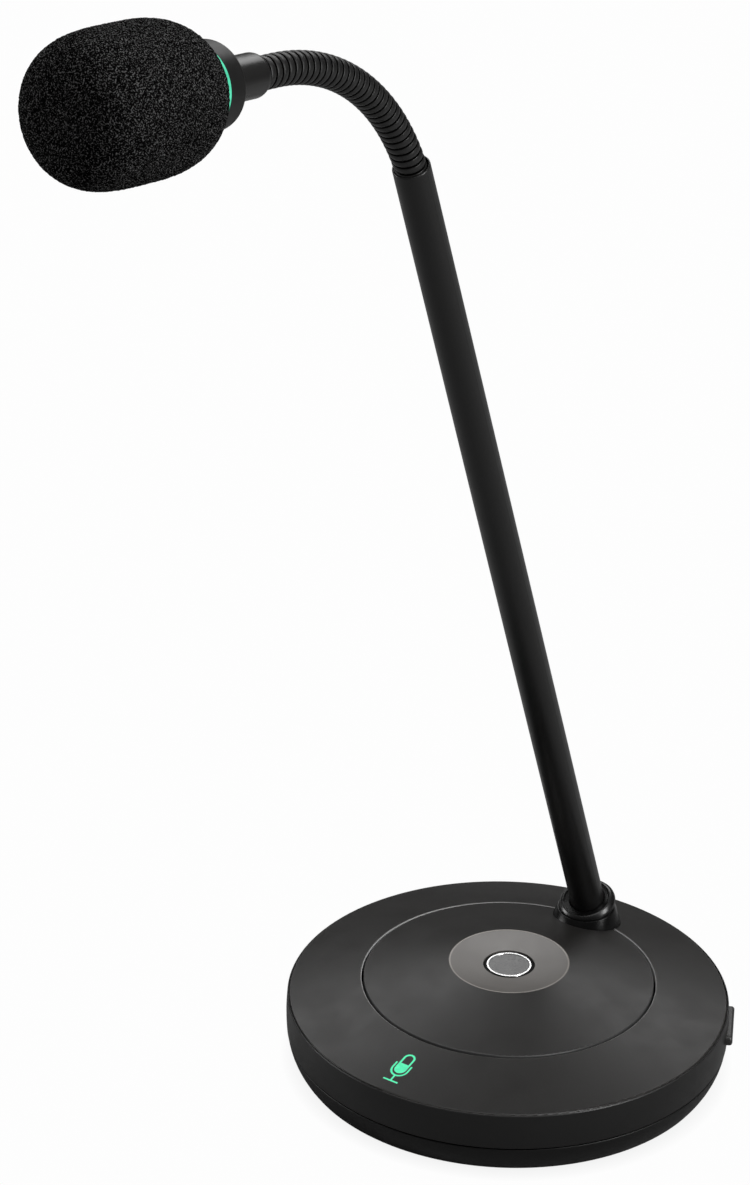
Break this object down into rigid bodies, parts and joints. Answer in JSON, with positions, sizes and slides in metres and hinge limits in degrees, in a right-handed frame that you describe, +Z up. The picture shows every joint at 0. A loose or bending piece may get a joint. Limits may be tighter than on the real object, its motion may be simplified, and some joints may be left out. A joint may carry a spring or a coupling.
{
  "type": "desktop gooseneck microphone",
  "caption": "Round weighted desk base with a press disc, leaning stem tube, gooseneck and foam-covered microphone head.",
  "frame": {"origin": "on the desk under the middle of the round base", "axes": "+Z up, -Y towards the user (the side with the lit sign), +X to the user's right"},
  "size_m": [0.1286, 0.2634, 0.3678],
  "materials": {
    "black_shell": "satin",
    "dark_top": "satin",
    "foot_rubber": "matte",
    "weight_steel": "satin",
    "board_green": "satin",
    "chip_black": "satin",
    "switch_plastic": "satin",
    "screw_steel": "satin",
    "spring_steel": "polished",
    "socket_metal": "satin",
    "lamp_white": "gloss",
    "sign_light": "satin",
    "stem_paint": "satin",
    "boot_rubber": "satin",
    "neck_steel": "satin",
    "collar_paint": "satin",
    "ring_light": "satin",
    "housing_metal": "matte",
    "capsule_metal": "satin",
    "gasket_rubber": "matte",
    "foam": "matte",
    "emblem_black": "gloss",
    "emblem_silver": "polished"
  },
  "bodies": {
    "base": {"bottom_cover": "black_shell", "foot_ring": "foot_rubber", "base_housing": "black_shell", "top_ring_plate": "dark_top", "symbol_light_guide": "sign_light", "ballast_plate": "weight_steel", "main_board": "board_green", "board_components": "chip_black", "disc_switch_board": "board_green", "disc_switches": "switch_plastic", "disc_return_springs": "spring_steel", "button_switch": "switch_plastic", "usb_socket": "socket_metal", "symbol_board": "board_green", "symbol_leds": "lamp_white", "symbol_mask": "dark_top", "housing_screws": "screw_steel", "ballast_screws": "screw_steel", "board_screws": "screw_steel", "plate_screws": "screw_steel", "switch_board_screws": "screw_steel", "stem_tube": "stem_paint", "stem_grub_screw": "screw_steel", "stem_boot": "boot_rubber", "neck_root": "neck_steel"},
    "disc": {"mute_disc": "dark_top", "emblem_disc": "emblem_black", "emblem_ring": "emblem_silver", "guide_clips": "spring_steel"},
    "button": {"side_button": "black_shell"},
    "link_01": {"neck_link_01": "neck_steel"},
    "link_02": {"neck_link_02": "neck_steel"},
    "link_03": {"neck_link_03": "neck_steel"},
    "link_04": {"neck_link_04": "neck_steel"},
    "link_05": {"neck_link_05": "neck_steel"},
    "link_06": {"neck_link_06": "neck_steel"},
    "link_07": {"neck_link_07": "neck_steel"},
    "link_08": {"neck_link_08": "neck_steel"},
    "link_09": {"neck_link_09": "neck_steel"},
    "link_10": {"neck_link_10": "neck_steel"},
    "link_11": {"neck_link_11": "neck_steel"},
    "link_12": {"neck_link_12": "neck_steel"},
    "link_13": {"neck_link_13": "neck_steel"},
    "head": {"head_stub": "neck_steel", "head_collar": "collar_paint", "head_shell": "black_shell", "light_ring": "ring_light", "capsule_housing": "housing_metal", "capsule": "capsule_metal", "capsule_gasket": "gasket_rubber", "head_board": "board_green"},
    "windscreen": {"foam_windscreen": "foam"}
  },
  "joints": [
    {"name": "disc_press", "type": "slide", "parent": "base", "child": "disc", "axis": [0, 0, -1], "range_m": [0, 0.001], "stiffness_N_per_m": 800, "springref_m": -0.0015},
    {"name": "side_button_press", "type": "slide", "parent": "base", "child": "button", "axis": [-0.8721, -0.4894, 0], "range_m": [0, 0.0008], "stiffness_N_per_m": 600, "springref_m": -0.001},
    {"name": "neck_bend_01", "type": "hinge", "parent": "base", "child": "link_01", "pos_m": [0, -0.06075, 0.29868], "axis": [1, 0, 0], "range_deg": [-17.14, 8.57]},
    {"name": "neck_sway_02", "type": "hinge", "parent": "link_01", "child": "link_02", "pos_m": [0, -0.06375, 0.30381], "axis": [0, 0.8433, 0.5374], "range_deg": [-8.57, 8.57]},
    {"name": "neck_bend_03", "type": "hinge", "parent": "link_02", "child": "link_03", "pos_m": [0, -0.06713, 0.3087], "axis": [1, 0, 0], "range_deg": [-17.14, 8.57]},
    {"name": "neck_sway_04", "type": "hinge", "parent": "link_03", "child": "link_04", "pos_m": [0, -0.07088, 0.31332], "axis": [0, 0.752, 0.6591], "range_deg": [-8.57, 8.57]},
    {"name": "neck_bend_05", "type": "hinge", "parent": "link_04", "child": "link_05", "pos_m": [0, -0.07496, 0.31764], "axis": [1, 0, 0], "range_deg": [-17.14, 8.57]},
    {"name": "neck_sway_06", "type": "hinge", "parent": "link_05", "child": "link_06", "pos_m": [0, -0.07937, 0.32163], "axis": [0, 0.6433, 0.7656], "range_deg": [-8.57, 8.57]},
    {"name": "neck_bend_07", "type": "hinge", "parent": "link_06", "child": "link_07", "pos_m": [0, -0.08406, 0.32528], "axis": [1, 0, 0], "range_deg": [-17.14, 8.57]},
    {"name": "neck_sway_08", "type": "hinge", "parent": "link_07", "child": "link_08", "pos_m": [0, -0.08902, 0.32856], "axis": [0, 0.5197, 0.8543], "range_deg": [-8.57, 8.57]},
    {"name": "neck_bend_09", "type": "hinge", "parent": "link_08", "child": "link_09", "pos_m": [0, -0.09422, 0.33146], "axis": [1, 0, 0], "range_deg": [-17.14, 8.57]},
    {"name": "neck_sway_10", "type": "hinge", "parent": "link_09", "child": "link_10", "pos_m": [0, -0.09962, 0.33395], "axis": [0, 0.3841, 0.9233], "range_deg": [-8.57, 8.57]},
    {"name": "neck_bend_11", "type": "hinge", "parent": "link_10", "child": "link_11", "pos_m": [0, -0.10519, 0.33602], "axis": [1, 0, 0], "range_deg": [-17.14, 8.57]},
    {"name": "neck_sway_12", "type": "hinge", "parent": "link_11", "child": "link_12", "pos_m": [0, -0.1109, 0.33766], "axis": [0, 0.2395, 0.9709], "range_deg": [-8.57, 8.57]},
    {"name": "neck_bend_13", "type": "hinge", "parent": "link_12", "child": "link_13", "pos_m": [0, -0.11673, 0.33887], "axis": [1, 0, 0], "range_deg": [-17.14, 8.57]},
    {"name": "neck_sway_14", "type": "hinge", "parent": "link_13", "child": "head", "pos_m": [0, -0.12261, 0.33977], "axis": [0, 0.1495, 0.9888], "range_deg": [-8.57, 8.57]},
    {"name": "windscreen_pull", "type": "slide", "parent": "head", "child": "windscreen", "axis": [0, -0.9888, 0.1495], "range_m": [0, 0.06]}
  ],
  "couplings": [
    {"joint": "neck_bend_03", "follows": "neck_bend_01", "ratio": 1},
    {"joint": "neck_sway_04", "follows": "neck_sway_02", "ratio": 1},
    {"joint": "neck_bend_05", "follows": "neck_bend_01", "ratio": 1},
    {"joint": "neck_sway_06", "follows": "neck_sway_02", "ratio": 1},
    {"joint": "neck_bend_07", "follows": "neck_bend_01", "ratio": 1},
    {"joint": "neck_sway_08", "follows": "neck_sway_02", "ratio": 1},
    {"joint": "neck_bend_09", "follows": "neck_bend_01", "ratio": 1},
    {"joint": "neck_sway_10", "follows": "neck_sway_02", "ratio": 1},
    {"joint": "neck_bend_11", "follows": "neck_bend_01", "ratio": 1},
    {"joint": "neck_sway_12", "follows": "neck_sway_02", "ratio": 1},
    {"joint": "neck_bend_13", "follows": "neck_bend_01", "ratio": 1},
    {"joint": "neck_sway_14", "follows": "neck_sway_02", "ratio": 1}
  ]
}
